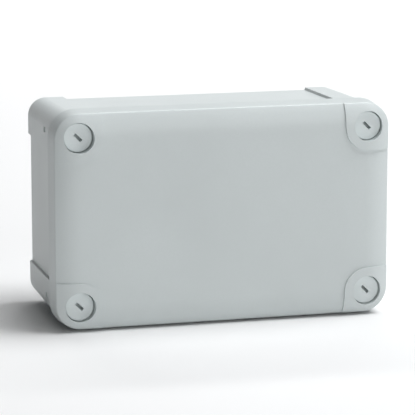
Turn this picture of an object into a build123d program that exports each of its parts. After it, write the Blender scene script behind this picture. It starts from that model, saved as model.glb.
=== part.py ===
from build123d import *

import os
from math import asin, cos, pi, radians, sin, sqrt, tan

os.makedirs("parts", exist_ok=True)

# Wall-mounted plastic junction box: a deep base, a shallow cover held by four quarter-turn
# screws, and a DIN rail with five screw terminals inside.
# Millimetres. +X right and +Z up as seen from the front, +Y into the wall. The origin is the
# centre of the back face, so a height h in front of the wall is at Y = -h.

# Overall sizes
length = 192.0          # along X, at the cover's edge
width = 121.0           # along Z, at the cover's edge
depth = 87.0            # from the wall to the cover's corner pads
cover_depth = 17.0      # from the cover's edge to its corner pads

# Cover form
cover_wall = 3.0
cover_draft = 5.0       # degrees
band = 15.1             # from the cover's edge in to its flat front
crease_drop = 4.45      # from the flat front back to the crease of the rounded band
crease_round = 1.5
pad_raise = 1.0         # corner pads above the flat front
pad_crease_raise = 0.7  # and at the crease
pad_margin = 5.0        # corner pad around a screw's cup

# Base form
base_inset = 3.6        # base wall inside the cover's edge, at the parting line
base_draft = 0.9        # degrees
wall = 4.0
floor = 3.5
notch_round = 6.5       # opening's corners around the screw columns
open_round = 3.0        # opening's other corners
base_round = 9.0
corner_proud = 1.4      # corner pads of the base, outside its walls
corner_reach = 20.7     # length of a corner pad along each side
corner_slope = 0.5      # run of the bevel at each end of a pad
corner_round = 10.0
parting_gap = 0.3       # between the base's corner pads and the cover's edge
rim_rise = 7.0          # the rim stands this far inside the cover
rim_step = 0.8          # the rim is set in from the wall by this much
sink = 1.0              # overlap of features that join the base or a screw

# Seal
seal_height = 3.0
seal_gap = 0.1          # each side of the gasket
seal_clear = 0.5        # from the gasket's track to the next hole or cup
lip_clear = 0.6         # cover's sealing band above the rim
lip_wall = 1.8
lip_gap = 0.4           # inner lip inside the base's opening
lip_reach = 2.0         # inner lip below the rim's top

# Quarter-turn cover screws
screw_inset = 14.0      # axis from the cover's edge
head_r = 8.0
head_recess = 3.4       # face behind the flat front
head_height = 3.2
head_gap = 0.35         # radial, head in its cup
head_edge = 0.4
cup_wall = 2.0
cup_clear = 0.3         # cup's back above the rim
slot_long = 5.3
slot_wide = 1.7
slot_deep = 5.0
slot_angle = -45.0      # degrees, from +X towards +Z
shank_r = 3.4
shank_gap = 0.3
lug_r = 5.4             # tips of the two lugs on the foot
lug_wide = 3.2
lug_high = 3.0
lug_gap = 0.4
catch_depth = 21.0      # rim's top to the front of the catch
catch_thick = 3.6
catch_clear = 0.3       # catch to the lugs under it
foot_space = 6.4        # height of the space in which the lugs turn
well_gap = 0.5          # around the tips of the lugs
key_gap = 0.05          # slot for the lugs, inside the well
window_high = 2.8       # recess in the corner pad's side, beside the lugs' space
window_long = 5.0
window_sink = 0.6
retainer_side = 0.3     # retainer inside the well
retainer_high = 1.2
retainer_gap = 0.5      # below the cup

# Wall fixing
fix_offset = 12.5       # fixing hole from the screw's axis, along X
fix_r = 2.6
fix_head_r = 4.6        # access bore for the fixing screw's head
fix_land = 6.0          # plastic left under that head
core_wall = 3.4         # around the cored pocket behind each screw column
core_round = 3.0

# DIN rail
boss_rise = 5.5         # above the floor
boss_r = 6.0
rail_wide = 35.0
rail_flange = 4.0       # each flange, to the channel's inner side
rail_high = 7.5
rail_sheet = 1.0
rail_end_gap = 7.0      # each end to the base's wall
rail_slot_pitch = 25.0
rail_slot_long = 15.0
rail_slot_wide = 5.2
rail_screw_r = 1.9
rail_screw_head_r = 3.8
rail_screw_head = 2.4
rail_screw_round = 0.9
rail_screw_bite = 6.5
cross_long = 4.4        # cross recess in the head
cross_wide = 1.0
cross_deep = 1.4

# Terminals: a bar, a clamp cage around each of its ends, and a housing around them
bar_wide = 4.2
bar_thick = 1.6
bar_rise = 12.7         # bar's back face above the rail
bar_gap = 0.05          # each side, bar in its housing
bar_over = 0.8          # bar past the cage
bar_end_gap = 0.2
cage_gap = 0.2          # around the cage and the bar
cage_side = 1.2
cage_sheet = 1.5        # back wall
cage_thread = 2.0       # front wall, which carries the thread
cage_long = 8.0
cage_high = 12.0
cage_rise = 6.4         # cage's back above the rail, clamp open
cage_travel = 2.8       # four turns of a 0.7 mm thread
terminal_wall = 1.25
terminal_gap = 0.1      # between neighbours
terminal_over = 6.5     # past the rail's edge, along Z
terminal_high = 33.5    # above the rail
terminal_step = 12.0    # shoulder below the front, over the wire entries
clamp_end = 10.5        # clamp axis from the end of the terminal
clamp_screw_r = 1.9
clamp_thread_gap = 0.05
clamp_tip_gap = 0.1     # screw's tip to the bar
clamp_head_r = 2.8
clamp_head = 2.5
clamp_head_rise = 1.6   # head above the raised cage
clamp_shaft_gap = 0.35
entry_wide = 5.6        # wire entry of a terminal
entry_high = 5.3
marker_wide = 5.2       # pocket for a marker tag
marker_long = 11.0
marker_deep = 2.5
driver_slot = 0.9       # slots of the clamp and bracket screws
driver_deep = 1.2
end_plate_thick = 2.0

# Feet that hook round the rail's edges
rail_fit = 0.1          # clearance to the rail
hook_in = 1.3           # reach behind the flange
hook_thick = 1.2
hook_out = 2.6          # foot past the flange
foot_slope = 1.0
shoulder_low = 4.0      # underside of the overhang above the rail
front_step = 3.2        # bevelled ends below the front
front_slope = 1.2
front_reach = 8.0
front_bevel = 5.0

# End brackets
bracket_wide = 9.5
bracket_high = 19.0     # above the rail
bracket_step = 7.0
bracket_short = 2.0     # each end inside the terminals' ends
bracket_gap = 0.1
bracket_screw_r = 1.9
bracket_head_r = 3.3
bracket_head_gap = 0.3
bracket_head = 2.6
bracket_sink = 4.0      # head's pocket

# Derived heights above the wall
front_h = depth - pad_raise
edge_h = depth - cover_depth
crease_h = front_h - crease_drop
rim_h = edge_h + rim_rise
seal_h = rim_h + seal_height
inner_h = front_h - cover_wall
head_face_h = front_h - head_recess
seat_h = head_face_h - head_height
cup_h = rim_h + cup_clear
band_h = rim_h + lip_clear
catch_h = rim_h - catch_depth
foot_h = catch_h - catch_thick
well_h = foot_h - foot_space
boss_h = floor + boss_rise
rail_h = boss_h + rail_high

# Derived half-sizes and positions
flat_x = length / 2 - band
flat_z = width / 2 - band
screw_x = length / 2 - screw_inset
screw_z = width / 2 - screw_inset
fix_x = screw_x - fix_offset
grow = tan(radians(base_draft))
edge_x = length / 2 - base_inset
edge_z = width / 2 - base_inset
back_x = edge_x - edge_h * grow
back_z = edge_z - edge_h * grow
rim_x = edge_x - rim_step
rim_z = edge_z - rim_step
seal_band = wall - rim_step
open_x = rim_x - seal_band
open_z = rim_z - seal_band
pad_round = head_r + head_gap + pad_margin
pad_reach = screw_inset + pad_round
cup_r = head_r + head_gap + cup_wall
notch_x = fix_x - fix_head_r - seal_clear - seal_band
notch_z = screw_z - cup_r - seal_clear - seal_band
well_r = lug_r + well_gap
key_reach = well_r - key_gap
key_wide = lug_wide + 2 * lug_gap
retainer_r = well_r - retainer_side
shrink = (rim_h - floor) * grow
rail_half = open_x - shrink - rail_end_gap
slot_count = 1 + int((2 * rail_half - rail_slot_long - rail_end_gap) / rail_slot_pitch)
boss_x = (slot_count - 1) * rail_slot_pitch / 2
rail_channel = rail_wide - 2 * rail_flange
cage_wide = bar_wide + 2 * cage_gap + 2 * cage_side
terminal_wide = cage_wide + 2 * cage_gap + 2 * terminal_wall
terminal_pitch = terminal_wide + terminal_gap
terminal_half = rail_wide / 2 + terminal_over
clamp_z = terminal_half - clamp_end
bar_half = clamp_z + cage_long / 2 + bar_over

CORNERS = {
    "top_left": (-1, 1),
    "top_right": (1, 1),
    "bottom_left": (-1, -1),
    "bottom_right": (1, -1),
}
TERMINALS = ["l1", "l2", "l3", "n", "pe"]
screw_points = [(sx * screw_x, sz * screw_z) for sx, sz in CORNERS.values()]
fix_points = [(sx * fix_x, sz * screw_z) for sx, sz in CORNERS.values()]


def level(h):
    """Plane parallel to the wall at height h; extrusions run to the front."""
    return Plane.XZ.offset(h)


def save(builder, name):
    """Label a finished piece and write it."""
    builder.part.label = name
    export_step(builder.part, f"parts/{name}.step")


def dome(skirt, crease, top, rounding):
    """Solid with a drafted skirt and a band that curves up from its crease to a flat front."""
    crease_u = skirt - (crease - edge_h) * tan(radians(cover_draft))
    drop = top - crease
    radius = (crease_u**2 + drop**2) / (2 * drop)
    half = asin(crease_u / radius) / 2
    middle = (radius * sin(half), top - radius + radius * cos(half))
    side_plane = Plane(origin=(flat_x, 0, flat_z), x_dir=(1, 0, 0), z_dir=(0, 0, -1))
    end_plane = Plane(origin=(0, 0, flat_z), x_dir=(0, 0, 1), z_dir=(1, 0, 0))
    with BuildPart() as solid:
        for plane, run in ((side_plane, flat_z), (end_plane, flat_x)):
            with BuildSketch(plane) as profile:
                with BuildLine():
                    Polyline((0, top), (0, edge_h), (skirt, edge_h), (crease_u, crease))
                    ThreePointArc((crease_u, crease), middle, (0, top))
                make_face()
                if rounding > 0:
                    fillet(profile.vertices().sort_by_distance((crease_u, crease))[0:1], rounding)
            extrude(amount=run)
            if plane is side_plane:
                revolve(profile.sketch, Axis((flat_x, 0, flat_z), (0, -1, 0)), 90)
        with BuildSketch(level(edge_h)):
            Rectangle(flat_x, flat_z, align=(Align.MIN, Align.MIN))
        extrude(amount=top - edge_h)
        mirror(about=Plane.YZ)
        mirror(about=Plane.XY)
    return solid.part


def opening(grown):
    """Outline of the base's opening, notched at its corners, grown outwards all round."""
    x1, z1 = open_x + grown, open_z + grown
    x0, z0 = notch_x + grown, notch_z + grown
    with BuildSketch(mode=Mode.PRIVATE) as outline:
        Rectangle(2 * x1, 2 * z1)
        for sx, sz in CORNERS.values():
            with Locations((sx * (x0 + x1) / 2, sz * (z0 + z1) / 2)):
                Rectangle(x1 - x0, z1 - z0, mode=Mode.SUBTRACT)
        inner = [v for v in outline.vertices() if abs(v.X) < x0 + 0.01 and abs(v.Y) < z0 + 0.01]
        fillet(inner, notch_round - grown)
        outer = [v for v in outline.vertices() if abs(v.X) > x1 - 0.01 or abs(v.Y) > z1 - 0.01]
        fillet(outer, open_round + grown)
    return outline.sketch


def keyhole(radius, reach, across):
    """Round hole with a straight slot across it, for the lugs of a cover screw."""
    with BuildSketch(mode=Mode.PRIVATE) as hole:
        Circle(radius)
        Rectangle(2 * reach, across, rotation=slot_angle)
    return hole.sketch


# Base: tapered tub with corner pads, screw columns, a stepped rim and two rail bosses
with BuildPart() as base:
    with BuildSketch(level(0)):
        RectangleRounded(2 * back_x, 2 * back_z, base_round)
    extrude(amount=edge_h, taper=-base_draft)
    pad_x = back_x + corner_proud
    pad_z = back_z + corner_proud
    for sx, sz in CORNERS.values():
        with BuildSketch(level(0)) as corner:
            with BuildLine():
                Polyline(
                    (sx * (pad_x - corner_reach), sz * (back_z - wall)),
                    (sx * (pad_x - corner_reach), sz * back_z),
                    (sx * (pad_x - corner_reach + corner_slope), sz * pad_z),
                    (sx * pad_x, sz * pad_z),
                    (sx * pad_x, sz * (pad_z - corner_reach + corner_slope)),
                    (sx * back_x, sz * (pad_z - corner_reach)),
                    (sx * (back_x - wall), sz * (pad_z - corner_reach)),
                    close=True,
                )
            make_face()
            fillet(corner.vertices().sort_by_distance((sx * pad_x, sz * pad_z))[0:1], corner_round)
        extrude(amount=edge_h - parting_gap, taper=-base_draft)
    with BuildSketch(level(edge_h - sink)):
        RectangleRounded(2 * rim_x, 2 * rim_z, band - base_inset - rim_step)
    extrude(amount=rim_rise + sink)
    # cavity, drafted like the walls
    with BuildSketch(level(floor)):
        add(opening(-shrink))
    with BuildSketch(level(rim_h)):
        add(opening(0))
    loft(ruled=True, mode=Mode.SUBTRACT)
    # quarter-turn catch: a well, a slotted catch and a turning space under it
    with BuildSketch(level(catch_h)):
        with Locations(*screw_points):
            Circle(well_r)
    extrude(amount=catch_depth, mode=Mode.SUBTRACT)
    with BuildSketch(level(foot_h)):
        with Locations(*screw_points):
            add(keyhole(shank_r + shank_gap, key_reach, key_wide))
    extrude(amount=catch_thick, mode=Mode.SUBTRACT)
    with BuildSketch(level(well_h)):
        with Locations(*screw_points):
            Circle(well_r)
    extrude(amount=foot_space, mode=Mode.SUBTRACT)
    window_x = pad_x + (foot_h - window_long) * grow - window_sink
    for sx, sz in CORNERS.values():
        with BuildSketch(level(foot_h - window_long)):
            with Locations((sx * (window_x + length / 2) / 2, sz * screw_z)):
                Rectangle(length / 2 - window_x, window_high)
        extrude(amount=window_long, mode=Mode.SUBTRACT)
    # wall-fixing holes with access bores for their heads
    with BuildSketch(level(0)):
        with Locations(*fix_points):
            Circle(fix_r)
    extrude(amount=rim_h, mode=Mode.SUBTRACT)
    with BuildSketch(level(fix_land)):
        with Locations(*fix_points):
            Circle(fix_head_r)
    extrude(amount=rim_h - fix_land, mode=Mode.SUBTRACT)
    # pockets cored from the back under the screw columns
    core_x0 = fix_x + fix_head_r + core_wall / 2
    core_x1 = back_x - core_wall
    core_z0 = notch_z + core_wall
    core_z1 = back_z - core_wall
    for sx, sz in CORNERS.values():
        with BuildSketch(level(0)):
            with Locations((sx * (core_x0 + core_x1) / 2, sz * (core_z0 + core_z1) / 2)):
                RectangleRounded(core_x1 - core_x0, core_z1 - core_z0, core_round)
        extrude(amount=well_h - core_wall, mode=Mode.SUBTRACT)
    # bosses that carry the rail
    for sx in (-1, 1):
        with BuildSketch(level(floor - sink)):
            with Locations((sx * boss_x, 0)):
                Circle(boss_r)
        extrude(amount=boss_rise + sink)
        with BuildSketch(level(boss_h - rail_screw_bite)):
            with Locations((sx * boss_x, 0)):
                Circle(rail_screw_r)
        extrude(amount=rail_screw_bite, mode=Mode.SUBTRACT)
save(base, "base")

# Cover: domed shell with raised corner pads, screw cups and a grooved sealing band inside
with BuildPart() as cover_space:
    add(dome(band - cover_wall, crease_h - 0.8 * cover_wall, inner_h, 0))
    with BuildSketch(level(cup_h)):
        with Locations(*screw_points):
            Circle(cup_r)
    extrude(amount=depth - cup_h, mode=Mode.SUBTRACT)
    with BuildSketch(level(band_h)):
        add(opening(seal_band + seal_gap + lip_wall))
        add(opening(-lip_gap - lip_wall), mode=Mode.SUBTRACT)
    extrude(amount=depth - band_h, mode=Mode.SUBTRACT)
    with BuildSketch(level(rim_h - lip_reach)):
        add(opening(-lip_gap))
        add(opening(-lip_gap - lip_wall), mode=Mode.SUBTRACT)
    extrude(amount=depth - rim_h + lip_reach, mode=Mode.SUBTRACT)

with BuildPart() as cover_pads:
    add(dome(band, crease_h + pad_crease_raise, depth, crease_round))
    with BuildSketch(level(edge_h)):
        for sx, sz in CORNERS.values():
            with Locations((sx * (length / 2 - pad_reach / 2), sz * (width / 2 - pad_reach / 2))):
                Rectangle(pad_reach, pad_reach)
            with Locations((sx * (screw_x - pad_round / 2), sz * (screw_z - pad_round / 2))):
                Rectangle(pad_round, pad_round, mode=Mode.SUBTRACT)
            with Locations((sx * screw_x, sz * screw_z)):
                Circle(pad_round)
    extrude(amount=cover_depth, mode=Mode.INTERSECT)

with BuildPart() as cover:
    add(dome(band, crease_h, front_h, crease_round))
    add(cover_pads.part)
    add(cover_space.part, mode=Mode.SUBTRACT)
    # gasket groove
    with BuildSketch(level(edge_h)):
        add(opening(seal_band))
        add(opening(0), mode=Mode.SUBTRACT)
    extrude(amount=seal_h - edge_h, mode=Mode.SUBTRACT)
    # cups for the screw heads, slotted through for their lugs
    with BuildSketch(level(seat_h)):
        with Locations(*screw_points):
            Circle(head_r + head_gap)
    extrude(amount=depth - seat_h, mode=Mode.SUBTRACT)
    with BuildSketch(level(cup_h)):
        with Locations(*screw_points):
            add(keyhole(shank_r + shank_gap, key_reach, key_wide))
    extrude(amount=seat_h - cup_h, mode=Mode.SUBTRACT)
save(cover, "cover")

# Gasket: one closed loop in the cover's groove, resting on the base's rim
with BuildPart() as cover_gasket:
    with BuildSketch(level(rim_h)):
        add(opening(seal_band - seal_gap))
        add(opening(seal_gap), mode=Mode.SUBTRACT)
    extrude(amount=seal_height)
save(cover_gasket, "cover_gasket")

# Cover screws: slotted head, plain shank, two lugs on the foot, and a push-on retainer
for name, (sx, sz) in CORNERS.items():
    spot = (sx * screw_x, sz * screw_z)
    with BuildPart() as cover_screw:
        with BuildSketch(level(seat_h)):
            with Locations(spot):
                Circle(head_r)
        extrude(amount=head_height)
        chamfer(cover_screw.edges().group_by(Axis.Y)[0], head_edge)
        lug_h = foot_h - catch_clear - lug_high
        with BuildSketch(level(lug_h - sink)):
            with Locations(spot):
                Circle(shank_r)
        extrude(amount=seat_h - lug_h + sink)
        with BuildSketch(level(lug_h)):
            with Locations(spot):
                Rectangle(2 * lug_r, lug_wide, rotation=slot_angle)
                Circle(lug_r, mode=Mode.INTERSECT)
        extrude(amount=lug_high)
        with BuildSketch(level(head_face_h - slot_deep)):
            with Locations(spot):
                Rectangle(slot_long, slot_wide, rotation=slot_angle)
        extrude(amount=slot_deep, mode=Mode.SUBTRACT)
    save(cover_screw, f"cover_screw_{name}")

    with BuildPart() as screw_retainer:
        with BuildSketch(level(cup_h - retainer_gap - retainer_high)):
            with Locations(spot):
                Circle(retainer_r)
                Circle(shank_r, mode=Mode.SUBTRACT)
        extrude(amount=retainer_high)
    save(screw_retainer, f"screw_retainer_{name}")

# Rail: top-hat section with slots, screwed to the two bosses
with BuildPart() as din_rail:
    with BuildSketch(Plane.YZ.offset(-rail_half)):
        with BuildLine():
            Polyline(
                (-rail_h, -rail_wide / 2),
                (-rail_h + rail_sheet, -rail_wide / 2),
                (-rail_h + rail_sheet, -rail_channel / 2 - rail_sheet),
                (-boss_h, -rail_channel / 2 - rail_sheet),
                (-boss_h, rail_channel / 2 + rail_sheet),
                (-rail_h + rail_sheet, rail_channel / 2 + rail_sheet),
                (-rail_h + rail_sheet, rail_wide / 2),
                (-rail_h, rail_wide / 2),
                (-rail_h, rail_channel / 2),
                (-boss_h - rail_sheet, rail_channel / 2),
                (-boss_h - rail_sheet, -rail_channel / 2),
                (-rail_h, -rail_channel / 2),
                close=True,
            )
        make_face()
    extrude(amount=2 * rail_half)
    with BuildSketch(level(boss_h)):
        with GridLocations(rail_slot_pitch, 1, slot_count, 1):
            SlotOverall(rail_slot_long, rail_slot_wide)
    extrude(amount=rail_sheet, mode=Mode.SUBTRACT)
save(din_rail, "din_rail")

with BuildPart() as rail_screws:
    with BuildSketch(level(boss_h - rail_screw_bite)):
        with Locations((-boss_x, 0), (boss_x, 0)):
            Circle(rail_screw_r)
    extrude(amount=rail_screw_bite + rail_sheet)
    with BuildSketch(level(boss_h + rail_sheet)):
        with Locations((-boss_x, 0), (boss_x, 0)):
            Circle(rail_screw_head_r)
    extrude(amount=rail_screw_head)
    fillet(rail_screws.edges().group_by(Axis.Y)[0], rail_screw_round)
    with BuildSketch(level(boss_h + rail_sheet + rail_screw_head - cross_deep)):
        with Locations((-boss_x, 0), (boss_x, 0)):
            Rectangle(cross_long, cross_wide, rotation=20)
            Rectangle(cross_wide, cross_long, rotation=20)
    extrude(amount=cross_deep, mode=Mode.SUBTRACT)
save(rail_screws, "rail_screws")


def rail_foot(top, step, half):
    """Side profile, in Y and Z, of a block whose two feet hook round the rail's edges."""
    lip = rail_wide / 2
    hook_h = rail_h - rail_sheet - rail_fit
    points = [
        (0, rail_h + rail_fit),
        (lip + rail_fit, rail_h + rail_fit),
        (lip + rail_fit, hook_h),
        (lip - hook_in, hook_h),
        (lip - hook_in, hook_h - hook_thick),
        (lip + hook_out, hook_h - hook_thick),
        (lip + hook_out + foot_slope, rail_h + foot_slope),
        (half, rail_h + shoulder_low),
        (half, top - step),
        (half - front_bevel, top - front_step),
        (half - front_bevel - front_reach, top - front_step),
        (half - front_bevel - front_reach - front_slope, top),
        (0, top),
    ]
    return [(-h, z) for z, h in points] + [(-h, -z) for z, h in reversed(points[1:-1])]


def terminal_housing(x):
    """Housing of one terminal: two clamp chambers, screw shafts and wire entries."""
    top = rail_h + terminal_high
    cage_h = rail_h + cage_rise - cage_gap
    chamber = cage_high + cage_travel + 2 * cage_gap
    with BuildPart() as housing:
        with BuildSketch(Plane.YZ.offset(x - terminal_wide / 2)):
            with BuildLine():
                Polyline(*rail_foot(top, terminal_step, terminal_half), close=True)
            make_face()
        extrude(amount=terminal_wide)
        with BuildSketch(level(cage_h)):
            with Locations((x, clamp_z), (x, -clamp_z)):
                Rectangle(cage_wide + 2 * cage_gap, cage_long + 2 * cage_gap)
        extrude(amount=chamber, mode=Mode.SUBTRACT)
        with BuildSketch(level(cage_h + chamber)):
            with Locations((x, clamp_z), (x, -clamp_z)):
                Circle(clamp_head_r + clamp_shaft_gap)
        extrude(amount=top - cage_h - chamber, mode=Mode.SUBTRACT)
        with BuildSketch(level(rail_h + bar_rise)):
            with Locations((x, 0)):
                Rectangle(bar_wide, 2 * (bar_half + bar_end_gap))
        extrude(amount=bar_thick, mode=Mode.SUBTRACT)
        for z in (-terminal_half, clamp_z):
            with BuildSketch(Plane.XY.offset(z)):
                with Locations((x, entry_high / 2 + cage_gap - rail_h - bar_rise)):
                    Rectangle(entry_wide, entry_high)
            extrude(amount=terminal_half - clamp_z, mode=Mode.SUBTRACT)
        with BuildSketch(level(top - marker_deep)):
            with Locations((x, 0)):
                Rectangle(marker_wide, marker_long)
        extrude(amount=marker_deep, mode=Mode.SUBTRACT)
    return housing


def clamp_cage(x, z):
    """Rectangular clamp frame round the bar; its front wall carries the thread."""
    cage_h = rail_h + cage_rise
    with BuildPart() as cage:
        with BuildSketch(level(cage_h)):
            with Locations((x, z)):
                Rectangle(cage_wide, cage_long)
        extrude(amount=cage_high)
        with BuildSketch(level(cage_h + cage_sheet)):
            with Locations((x, z)):
                Rectangle(bar_wide + 2 * cage_gap, cage_long)
        extrude(amount=cage_high - cage_sheet - cage_thread, mode=Mode.SUBTRACT)
        with BuildSketch(level(cage_h + cage_high - cage_thread)):
            with Locations((x, z)):
                Circle(clamp_screw_r + clamp_thread_gap)
        extrude(amount=cage_thread, mode=Mode.SUBTRACT)
    return cage


def clamp_screw(x, z):
    """Slotted clamp screw whose tip bears on the bar."""
    tip_h = rail_h + bar_rise + bar_thick + clamp_tip_gap
    head_h = rail_h + cage_rise + cage_high + cage_travel + cage_gap + clamp_head_rise
    with BuildPart() as screw:
        with BuildSketch(level(tip_h)):
            with Locations((x, z)):
                Circle(clamp_screw_r)
        extrude(amount=head_h - tip_h)
        with BuildSketch(level(head_h)):
            with Locations((x, z)):
                Circle(clamp_head_r)
        extrude(amount=clamp_head)
        with BuildSketch(level(head_h + clamp_head - driver_deep)):
            with Locations((x, z)):
                Rectangle(2 * clamp_head_r, driver_slot, rotation=30)
        extrude(amount=driver_deep, mode=Mode.SUBTRACT)
    return screw


# Terminals, side by side along the rail
stack = len(TERMINALS)
for index, name in enumerate(TERMINALS):
    x = (index - (stack - 1) / 2) * terminal_pitch
    save(terminal_housing(x), f"terminal_{name}_housing")
    with BuildPart() as current_bar:
        with BuildSketch(level(rail_h + bar_rise)):
            with Locations((x, 0)):
                Rectangle(bar_wide - 2 * bar_gap, 2 * bar_half)
        extrude(amount=bar_thick)
    save(current_bar, f"terminal_{name}_bar")
    for end, z in (("top", clamp_z), ("bottom", -clamp_z)):
        save(clamp_cage(x, z), f"terminal_{name}_cage_{end}")
        save(clamp_screw(x, z), f"terminal_{name}_screw_{end}")

# End plate over the side of the last terminal
stack_end = stack / 2 * terminal_pitch
plate_top = rail_h + terminal_high
with BuildPart() as end_plate:
    with BuildSketch(Plane.YZ.offset(stack_end)):
        with BuildLine():
            Polyline(*rail_foot(plate_top, terminal_step, terminal_half), close=True)
        make_face()
    extrude(amount=end_plate_thick)
save(end_plate, "end_plate")

# End brackets clamp the row of terminals on the rail
bracket_top = rail_h + bracket_high
bracket_starts = {
    "left": -stack_end - bracket_gap - bracket_wide,
    "right": stack_end + end_plate_thick + bracket_gap,
}
bracket_centres = [(start + bracket_wide / 2, 0) for start in bracket_starts.values()]
for (side, start), centre in zip(bracket_starts.items(), bracket_centres):
    with BuildPart() as end_bracket:
        with BuildSketch(Plane.YZ.offset(start)):
            with BuildLine():
                Polyline(*rail_foot(bracket_top, bracket_step, terminal_half - bracket_short), close=True)
            make_face()
        extrude(amount=bracket_wide)
        with BuildSketch(level(rail_h)):
            with Locations(centre):
                Circle(bracket_screw_r)
        extrude(amount=bracket_high, mode=Mode.SUBTRACT)
        with BuildSketch(level(bracket_top - bracket_sink)):
            with Locations(centre):
                Circle(bracket_head_r + bracket_head_gap)
        extrude(amount=bracket_sink, mode=Mode.SUBTRACT)
    save(end_bracket, f"end_bracket_{side}")

with BuildPart() as bracket_screws:
    with BuildSketch(level(rail_h + rail_fit)):
        with Locations(*bracket_centres):
            Circle(bracket_screw_r)
    extrude(amount=bracket_high - bracket_sink - rail_fit)
    with BuildSketch(level(bracket_top - bracket_sink)):
        with Locations(*bracket_centres):
            Circle(bracket_head_r)
    extrude(amount=bracket_head)
    with BuildSketch(level(bracket_top - bracket_sink + bracket_head - driver_deep)):
        with Locations(*bracket_centres):
            Rectangle(2 * bracket_head_r, driver_slot, rotation=60)
    extrude(amount=driver_deep, mode=Mode.SUBTRACT)
save(bracket_screws, "bracket_screws")
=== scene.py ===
import math

import bmesh
import bpy
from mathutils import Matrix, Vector


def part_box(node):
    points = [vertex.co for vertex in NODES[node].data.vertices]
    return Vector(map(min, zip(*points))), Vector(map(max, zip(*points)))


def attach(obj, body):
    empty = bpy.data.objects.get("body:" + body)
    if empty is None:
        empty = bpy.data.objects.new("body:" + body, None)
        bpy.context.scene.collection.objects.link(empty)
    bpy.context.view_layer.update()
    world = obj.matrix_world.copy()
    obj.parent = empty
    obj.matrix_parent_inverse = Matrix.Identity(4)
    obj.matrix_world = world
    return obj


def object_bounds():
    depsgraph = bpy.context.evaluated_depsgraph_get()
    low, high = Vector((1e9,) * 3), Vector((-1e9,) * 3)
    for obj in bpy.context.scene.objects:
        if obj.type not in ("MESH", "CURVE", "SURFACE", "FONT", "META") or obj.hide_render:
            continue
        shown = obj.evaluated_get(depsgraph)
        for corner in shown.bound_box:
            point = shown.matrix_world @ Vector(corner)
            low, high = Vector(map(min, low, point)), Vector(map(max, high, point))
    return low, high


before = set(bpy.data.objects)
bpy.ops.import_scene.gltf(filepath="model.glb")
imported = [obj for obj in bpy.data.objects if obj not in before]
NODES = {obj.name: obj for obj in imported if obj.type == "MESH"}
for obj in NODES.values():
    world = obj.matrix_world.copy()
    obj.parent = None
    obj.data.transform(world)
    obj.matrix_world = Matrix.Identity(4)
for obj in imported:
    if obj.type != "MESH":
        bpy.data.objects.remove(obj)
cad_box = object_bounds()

MM = 0.001


# ---------------------------------------------------------------- materials
def new_material(name):
    mat = bpy.data.materials.new(name)
    mat.use_nodes = True
    tree = mat.node_tree
    tree.nodes.clear()
    out = tree.nodes.new("ShaderNodeOutputMaterial")
    shader = tree.nodes.new("ShaderNodeBsdfPrincipled")
    tree.links.new(shader.outputs["BSDF"], out.inputs["Surface"])
    return mat, tree, shader


def coords(tree, scale=(1, 1, 1)):
    where = tree.nodes.new("ShaderNodeTexCoord")
    mapping = tree.nodes.new("ShaderNodeMapping")
    mapping.inputs["Scale"].default_value = scale
    tree.links.new(where.outputs["Object"], mapping.inputs["Vector"])
    return mapping.outputs["Vector"]


def noise(tree, vector, scale, detail=2.0, rough=0.5):
    node = tree.nodes.new("ShaderNodeTexNoise")
    node.inputs["Scale"].default_value = scale
    node.inputs["Detail"].default_value = detail
    node.inputs["Roughness"].default_value = rough
    tree.links.new(vector, node.inputs["Vector"])
    return node.outputs["Fac"]


def ramp(tree, value, low, high, out_low, out_high):
    node = tree.nodes.new("ShaderNodeMapRange")
    node.inputs["From Min"].default_value = low
    node.inputs["From Max"].default_value = high
    node.inputs["To Min"].default_value = out_low
    node.inputs["To Max"].default_value = out_high
    tree.links.new(value, node.inputs["Value"])
    return node.outputs["Result"]


def mix_colour(tree, factor, a, b):
    node = tree.nodes.new("ShaderNodeMix")
    node.data_type = "RGBA"
    tree.links.new(factor, node.inputs["Factor"])
    for socket, colour in ((node.inputs["A"], a), (node.inputs["B"], b)):
        if hasattr(colour, "is_output"):
            tree.links.new(colour, socket)
        else:
            socket.default_value = (*colour, 1.0)
    return node.outputs["Result"]


def bump(tree, height, strength, distance, normal=None):
    node = tree.nodes.new("ShaderNodeBump")
    node.inputs["Strength"].default_value = strength
    node.inputs["Distance"].default_value = distance
    tree.links.new(height, node.inputs["Height"])
    if normal is not None:
        tree.links.new(normal, node.inputs["Normal"])
    return node.outputs["Normal"]


def shade(colour, factor):
    return tuple(min(1.0, c * factor) for c in colour)


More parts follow.
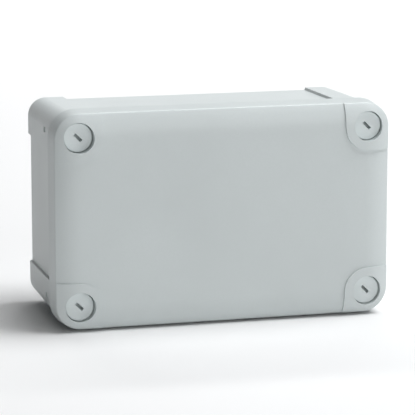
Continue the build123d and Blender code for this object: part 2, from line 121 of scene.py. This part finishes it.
def moulded_plastic(name, colour, rough=0.42, grain=1.0, vary=0.03, wear=0.06):
    """Moulded plastic: spark-eroded grain, faint flow clouds, handled patches, paler worn edges."""
    mat, tree, shader = new_material(name)
    space = coords(tree)
    cloud = noise(tree, space, 14.0, 3.0, 0.55)
    fine = noise(tree, space, 900.0, 2.0, 0.6)
    clouded = ramp(tree, cloud, 0.3, 0.7, 0, 1)
    base = mix_colour(tree, clouded, shade(colour, 1 - vary), shade(colour, 1 + vary))
    specked = ramp(tree, fine, 0.35, 0.75, 0.0, 0.35)
    speck = mix_colour(tree, specked, base, shade(colour, 1 - 1.5 * vary))
    edge = tree.nodes.new("ShaderNodeBevel")
    edge.samples = 4
    edge.inputs["Radius"].default_value = 0.0007
    geometry = tree.nodes.new("ShaderNodeNewGeometry")
    dot = tree.nodes.new("ShaderNodeVectorMath")
    dot.operation = "DOT_PRODUCT"
    tree.links.new(edge.outputs["Normal"], dot.inputs[0])
    tree.links.new(geometry.outputs["Normal"], dot.inputs[1])
    worn = ramp(tree, dot.outputs["Value"], 0.995, 0.80, 0.0, wear * 6)
    patch = noise(tree, space, 90.0, 3.0, 0.6)
    blotch = tree.nodes.new("ShaderNodeMath")
    blotch.operation = "MULTIPLY"
    tree.links.new(worn, blotch.inputs[0])
    tree.links.new(ramp(tree, patch, 0.42, 0.62, 0.25, 1.0), blotch.inputs[1])
    final = mix_colour(tree, blotch.outputs[0], speck, shade(colour, 1.0 + 2 * wear))
    tree.links.new(final, shader.inputs["Base Color"])
    smear = noise(tree, space, 35.0, 4.0, 0.6)
    gloss = ramp(tree, smear, 0.3, 0.7, rough - 0.03, rough + 0.04)
    tree.links.new(gloss, shader.inputs["Roughness"])
    texture = noise(tree, space, 1500.0, 1.0, 0.5)
    tree.links.new(bump(tree, texture, 0.16 * grain, 0.00012), shader.inputs["Normal"])
    shader.inputs["IOR"].default_value = 1.52
    shader.inputs["Specular IOR Level"].default_value = 0.5
    return mat


def plated_metal(name, colour, rough=0.32, brushed=(1, 1, 1), spangle=0.05):
    """Zinc- or tin-plated metal with fine drawing lines and dull patches."""
    mat, tree, shader = new_material(name)
    space = coords(tree)
    lines = noise(tree, coords(tree, brushed), 700.0, 3.0, 0.6)
    cloud = noise(tree, space, 160.0, 3.0, 0.6)
    clouded = ramp(tree, cloud, 0.3, 0.7, 0, 1)
    base = mix_colour(tree, clouded, shade(colour, 1 - spangle), shade(colour, 1 + spangle))
    tree.links.new(base, shader.inputs["Base Color"])
    gloss = ramp(tree, cloud, 0.3, 0.7, rough - 0.06, rough + 0.1)
    tree.links.new(gloss, shader.inputs["Roughness"])
    tree.links.new(bump(tree, lines, 0.12, 0.0001), shader.inputs["Normal"])
    shader.inputs["Metallic"].default_value = 1.0
    return mat


def foam_rubber(name, colour):
    """Soft sealing foam: open grain and no gloss."""
    mat, tree, shader = new_material(name)
    space = coords(tree)
    pores = tree.nodes.new("ShaderNodeTexVoronoi")
    pores.inputs["Scale"].default_value = 1600.0
    tree.links.new(space, pores.inputs["Vector"])
    cloud = noise(tree, space, 60.0, 3.0, 0.6)
    base = mix_colour(tree, cloud, shade(colour, 0.75), shade(colour, 1.35))
    tree.links.new(base, shader.inputs["Base Color"])
    tree.links.new(ramp(tree, cloud, 0.3, 0.7, 0.75, 0.92), shader.inputs["Roughness"])
    tree.links.new(bump(tree, pores.outputs["Distance"], 0.4, 0.0002), shader.inputs["Normal"])
    return mat


def striped_plastic(name, colour, second, pitch):
    """Moulded plastic in two colours, in bands that slant across the piece."""
    mat = moulded_plastic(name, colour, 0.48)
    tree = mat.node_tree
    shader = tree.nodes["Principled BSDF"]
    first = shader.inputs["Base Color"].links[0].from_socket
    bands = tree.nodes.new("ShaderNodeTexWave")
    bands.bands_direction = "DIAGONAL"
    bands.wave_profile = "SIN"
    bands.inputs["Scale"].default_value = math.pi / (10 * pitch * MM)
    bands.inputs["Distortion"].default_value = 0.0
    tree.links.new(coords(tree, (0, 1, 1)), bands.inputs["Vector"])
    mask = ramp(tree, bands.outputs["Fac"], 0.48, 0.52, 0.0, 1.0)
    tree.links.new(mix_colour(tree, mask, first, second), shader.inputs["Base Color"])
    return mat


GREY = (0.590, 0.634, 0.634)
GREEN = (0.035, 0.23, 0.045)
YELLOW = (0.80, 0.58, 0.02)
FINISHES = {
    "shell": moulded_plastic("shell_grey", GREY, 0.40),
    # Screw caps: the shell grey painted 1.2 times lighter, painted light that offsets the shade
    # falling on the heads inside their recessed cups.
    "cap_painted_lighter": moulded_plastic("screw_grey_painted_lighter", shade(GREY, 1.2), 0.38, 0.8),
    "seal": foam_rubber("seal_foam", (0.045, 0.046, 0.05)),
    "nylon": moulded_plastic("retainer_nylon", (0.78, 0.77, 0.70), 0.5, 0.5),
    "rail": plated_metal("rail_zinc", (0.66, 0.67, 0.69), 0.30, (0.05, 1, 1), 0.08),
    "zinc": plated_metal("screw_zinc", (0.60, 0.60, 0.61), 0.30),
    "phase": moulded_plastic("phase_grey", (0.24, 0.26, 0.27), 0.5),
    "neutral": moulded_plastic("neutral_blue", (0.02, 0.12, 0.42), 0.5),
    "earth": striped_plastic("earth_green_yellow", GREEN, YELLOW, 16.0),
    "tin": plated_metal("bar_tin", (0.70, 0.67, 0.60), 0.28, (1, 1, 0.05)),
    "cage": plated_metal("cage_zinc", (0.56, 0.56, 0.55), 0.36),
    "bracket": moulded_plastic("bracket_grey", (0.15, 0.16, 0.17), 0.5),
    "tag": moulded_plastic("marker_white", (0.80, 0.80, 0.78), 0.45, 0.5),
}
HOUSINGS = {"n": "neutral", "pe": "earth"}
EXACT = {
    "base": "shell",
    "cover": "shell",
    "cover_gasket": "seal",
    "din_rail": "rail",
    "end_plate": "phase",
}


def finish_for(node):
    """Name of the finish of a CAD node."""
    if node in EXACT:
        return EXACT[node]
    if node.startswith("cover_screw"):
        return "cap_painted_lighter"
    if node.startswith("screw_retainer"):
        return "nylon"
    if node.startswith("end_bracket"):
        return "bracket"
    if node.endswith("_housing"):
        return HOUSINGS.get(node.split("_")[1], "phase")
    if node.endswith("_bar"):
        return "tin"
    return "cage" if "_cage_" in node else "zinc"


def round_edges(obj, width, segments=3):
    """Small moulded radius on every crisp edge of a CAD node."""
    mod = obj.modifiers.new("round", "BEVEL")
    mod.width = width * MM
    mod.segments = segments
    mod.limit_method = "ANGLE"
    mod.angle_limit = math.radians(30)
    mod.harden_normals = True
    mod.miter_outer = "MITER_ARC"
    mod.use_clamp_overlap = True


for name, obj in NODES.items():
    obj.data.materials.clear()
    obj.data.materials.append(FINISHES[finish_for(name)])

round_edges(NODES["cover"], 0.22)
round_edges(NODES["base"], 0.25)
for name, obj in NODES.items():
    if name.startswith("cover_screw_"):
        round_edges(obj, 0.2, 2)


# ---------------------------------------------------------------- pieces
def new_piece(name, bm, finish):
    """Mesh piece that rides on the box."""
    mesh = bpy.data.meshes.new(name)
    bmesh.ops.recalc_face_normals(bm, faces=bm.faces)
    bm.to_mesh(mesh)
    bm.free()
    for face in mesh.polygons:
        face.use_smooth = True
    obj = bpy.data.objects.new(name, mesh)
    bpy.context.collection.objects.link(obj)
    mesh.materials.append(FINISHES[finish])
    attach(obj, "box")
    return obj


def ring(bm, outline, y):
    """Loop of vertices at a height in front of the wall."""
    return [bm.verts.new((x, y, z)) for x, z in outline]


def skin(bm, rings):
    """Closed skin through a stack of loops."""
    for low_ring, high_ring in zip(rings, rings[1:]):
        count = len(low_ring)
        for i in range(count):
            j = (i + 1) % count
            bm.faces.new((low_ring[i], low_ring[j], high_ring[j], high_ring[i]))
    bm.faces.new(rings[0][::-1])
    bm.faces.new(rings[-1])


def pill(half_x, half_z, radius, steps=5):
    """Rounded rectangle about the origin."""
    points = []
    for corner, (sx, sz) in enumerate(((1, 1), (-1, 1), (-1, -1), (1, -1))):
        for step in range(steps + 1):
            angle = math.radians(90 * (corner + step / steps))
            points.append((
                sx * (half_x - radius) + radius * math.cos(angle),
                sz * (half_z - radius) + radius * math.sin(angle),
            ))
    return points


# Marker tag, in metres
POCKET_HALF = (2.6 * MM, 5.5 * MM)
POCKET_GAP = 0.12 * MM
TAG_PROUD = 0.15 * MM
TAG_DEEP = 2.3 * MM
TAG_EDGE = 0.3 * MM
TAG_RIM = 0.7 * MM
TAG_DIP_INSET = 1.0 * MM
TAG_DIP = 0.25 * MM
TAG_ROUND = 0.6 * MM


def marker_tag(node):
    """Blank marker tag clipped into the pocket on a terminal's front, with a finger dip."""
    low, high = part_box(node)
    x = (low[0] + high[0]) / 2
    z = (low[2] + high[2]) / 2
    half_x = POCKET_HALF[0] - POCKET_GAP
    half_z = POCKET_HALF[1] - POCKET_GAP
    front = low[1] - TAG_PROUD
    back = low[1] + TAG_DEEP
    bm = bmesh.new()
    rings = []
    for y, inset in (
        (back, TAG_EDGE),
        (back - TAG_EDGE, 0),
        (front + TAG_EDGE, 0),
        (front, TAG_EDGE),
        (front, TAG_RIM),
        (front + TAG_DIP, TAG_DIP_INSET),
    ):
        outline = pill(half_x - inset, half_z - inset, TAG_ROUND)
        rings.append(ring(bm, [(x + u, z + w) for u, w in outline], y))
    skin(bm, rings)
    return new_piece(node.replace("_housing", "_marker"), bm, "tag")


for name in list(NODES):
    if name.endswith("_housing"):
        marker_tag(name)

# ---------------------------------------------------------------- stage
low, high = cad_box
bpy.ops.mesh.primitive_grid_add(x_subdivisions=80, y_subdivisions=80, size=1)
floor = bpy.context.object
floor.name = "studio_floor"
floor_top = low[2] - 0.0004
floor_half = 4.0
sweep_start = 2.4
sweep_slope = 0.9
sweep_ease = 0.6
for v in floor.data.vertices:
    x, y = v.co.x * 2 * floor_half, v.co.y * 2 * floor_half
    rise = max(0.0, y - sweep_start)
    v.co = Vector((x, y, floor_top + sweep_slope * rise * rise / (rise + sweep_ease)))
for face in floor.data.polygons:
    face.use_smooth = True
mat, tree, shader = new_material("studio_white")
shader.inputs["Base Color"].default_value = (0.87, 0.87, 0.87, 1)
shader.inputs["Roughness"].default_value = 1.0
shader.inputs["Specular IOR Level"].default_value = 0.0
floor.data.materials.append(mat)

# ---------------------------------------------------------------- light and camera
scene = bpy.context.scene
scene.view_settings.view_transform = "Standard"
world = bpy.data.worlds.new("studio")
scene.world = world
world.use_nodes = True
sky = world.node_tree.nodes["Background"]
sky.inputs["Color"].default_value = (0.9, 0.95, 1.0, 1)
sky.inputs["Strength"].default_value = 0.02


def area(name, location, target, size, power, colour=(1, 1, 1)):
    data = bpy.data.lights.new(name, "AREA")
    data.shape = "RECTANGLE"
    data.size, data.size_y = size
    data.energy = power
    data.color = colour
    light = bpy.data.objects.new(name, data)
    light.location = location
    light.rotation_euler = (Vector(target) - Vector(location)).to_track_quat("-Z", "Y").to_euler()
    bpy.context.collection.objects.link(light)
    return light


middle = (0, -0.04, 0)
cool = (0.98, 0.99, 1.0)
area("key", (0.4, -1.8, 0.7), middle, (0.8, 0.8), 5.5)
area("front", (-0.4, -2.2, 0.4), middle, (0.9, 0.9), 5.2)
area("overhead", (0.6, -0.15, 1.6), middle, (1.2, 1.2), 23.0, cool)
area("overhead_right", (1.0, -0.35, 1.4), middle, (1.0, 1.0), 12, cool)
area("backdrop", (0.4, 2.2, 2.2), (0.6, 3.3, 0.2), (2.0, 1.0), 90)

eye = Vector((-0.35471, -1.32669, 0.24761))
aim = Vector((0.26259, 0.94703, -0.18487))
data = bpy.data.cameras.new("camera")
data.sensor_width = 36.0
data.lens = 207.93
data.clip_start = 0.05
data.clip_end = 50
camera = bpy.data.objects.new("camera", data)
camera.location = eye
camera.rotation_euler = aim.to_track_quat("-Z", "Y").to_euler()
bpy.context.collection.objects.link(camera)
bpy.context.scene.camera = camera

bpy.context.view_layer.update()
